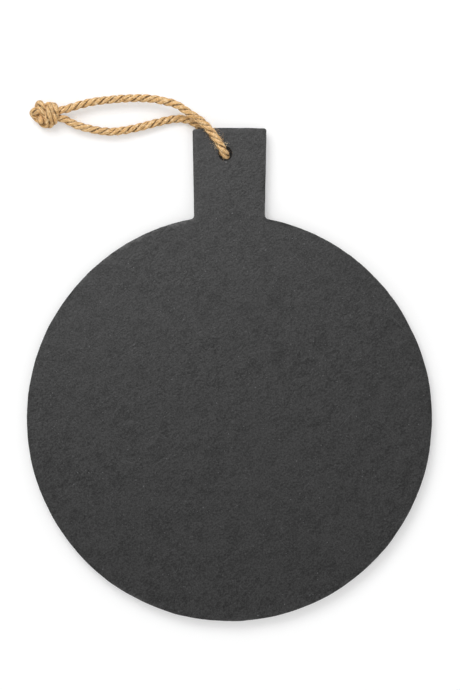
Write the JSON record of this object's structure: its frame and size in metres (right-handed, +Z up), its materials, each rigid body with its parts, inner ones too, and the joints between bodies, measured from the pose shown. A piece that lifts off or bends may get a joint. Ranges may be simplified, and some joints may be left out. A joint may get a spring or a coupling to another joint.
{
  "type": "slate serving board",
  "caption": "Round slate serving board with a short straight handle, small rubber feet and a knotted jute rope loop through a hole in the handle, for serving on and hanging up.",
  "frame": {"origin": "on the level that the feet stand on, under the middle of the slate's outline, the rope left out", "axes": "+Z up out of the serving face, +Y from the round towards the handle's free end, +X to the right of the handle as seen from above"},
  "size_m": [0.3, 0.3898, 0.0178],
  "materials": {
    "slate": "matt, naturally split",
    "jute": "natural three-strand twist",
    "foot_rubber": "satin",
    "adhesive": "dull"
  },
  "bodies": {
    "board": {"slate_board": "slate", "foot_front_left": "foot_rubber", "foot_front_right": "foot_rubber", "foot_rear_left": "foot_rubber", "foot_rear_right": "foot_rubber", "adhesive_front_left": "adhesive", "adhesive_front_right": "adhesive", "adhesive_rear_left": "adhesive", "adhesive_rear_right": "adhesive"},
    "loop": {"rope_loop": "jute", "rope_knot": "jute"}
  },
  "joints": [
    {"name": "loop_swing", "type": "hinge", "parent": "board", "child": "loop", "pos_m": [-0.0031, 0.16325, 0.0089], "axis": [0, 0, 1], "range_deg": [-175, 45]}
  ]
}
